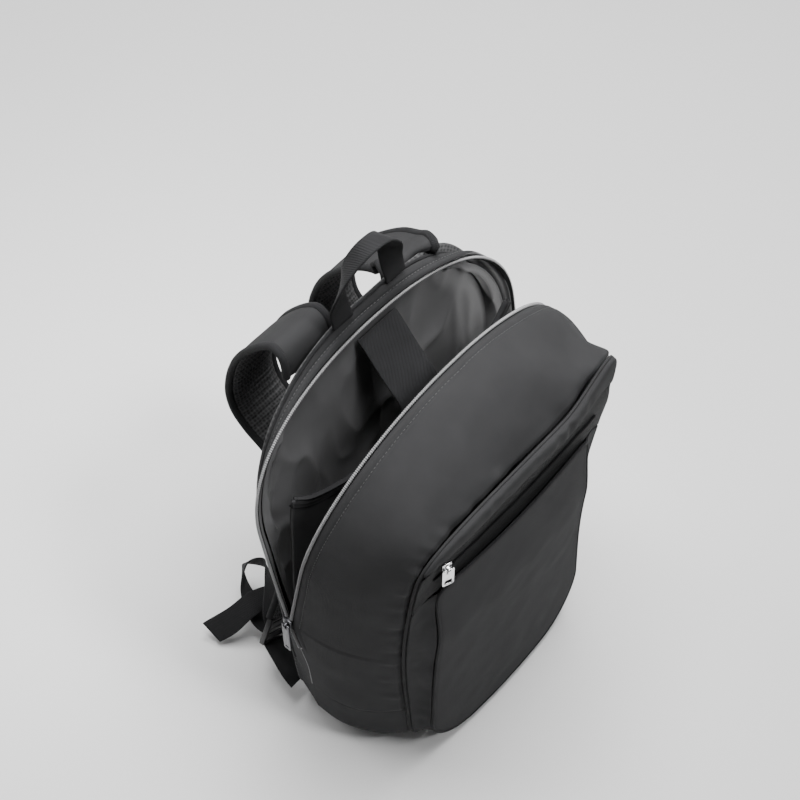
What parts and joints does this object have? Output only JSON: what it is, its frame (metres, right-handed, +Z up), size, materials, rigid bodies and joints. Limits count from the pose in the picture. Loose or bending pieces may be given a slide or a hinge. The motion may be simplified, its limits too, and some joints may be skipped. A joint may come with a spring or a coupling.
{
  "type": "laptop backpack",
  "caption": "Soft backpack with an arched zipped main compartment, a laptop sleeve, a zipped front pocket, a top webbing handle and two padded shoulder straps.",
  "frame": {"origin": "middle of the flat underside", "axes": "+Z up, -Y towards the front pocket, +X to the right seen from the front"},
  "size_m": [0.3362, 0.2815, 0.5264],
  "materials": {
    "shell_polyester": "matte woven polyester",
    "lining_nylon": "thin nylon with a slight sheen",
    "zipper_tape": "woven tape with a nylon coil",
    "air_mesh": "ribbed spacer mesh",
    "webbing": "flat woven webbing",
    "hard_plastic": "moulded, satin",
    "gunmetal": "dark plated",
    "silver": "polished"
  },
  "bodies": {
    "bag": {"back_panel": "shell_polyester", "rear_gusset": "shell_polyester", "lining": "lining_nylon", "front_shell": "shell_polyester", "base_gusset": "shell_polyester", "front_wall": "shell_polyester", "hood_band": "shell_polyester", "pocket_zip_strip": "zipper_tape", "pocket_front": "shell_polyester", "pocket_gusset": "shell_polyester", "rear_zip_tape": "zipper_tape", "front_zip_tape": "zipper_tape", "laptop_divider": "lining_nylon", "laptop_tab": "webbing", "grab_handle": "webbing", "zip_foot_left": "zipper_tape", "strap_left": "shell_polyester", "strap_mesh_left": "air_mesh", "ladder_lock_left": "hard_plastic", "lower_web_left": "webbing", "tail_web_left": "webbing", "zip_foot_right": "zipper_tape", "strap_right": "shell_polyester", "strap_mesh_right": "air_mesh", "ladder_lock_right": "hard_plastic", "lower_web_right": "webbing", "tail_web_right": "webbing", "main_slider_left": "gunmetal", "main_slider_right": "gunmetal", "pocket_slider": "silver"},
    "pull_left": {"main_pull_left": "gunmetal"},
    "pull_right": {"main_pull_right": "gunmetal"},
    "pull_pocket": {"pocket_pull": "silver"}
  },
  "joints": [
    {"name": "main_pull_left_swing", "type": "hinge", "parent": "bag", "child": "pull_left", "pos_m": [-0.16532, 0.04704, 0.192], "axis": [0, 1, 0], "range_deg": [0, 110]},
    {"name": "main_pull_right_swing", "type": "hinge", "parent": "bag", "child": "pull_right", "pos_m": [0.16532, 0.04704, 0.192], "axis": [0, -1, 0], "range_deg": [0, 110]},
    {"name": "pocket_pull_swing", "type": "hinge", "parent": "bag", "child": "pull_pocket", "pos_m": [-0.1035, -0.07742, 0.34302], "axis": [-0.9336, 0.3584, 0], "range_deg": [0, 110]}
  ]
}
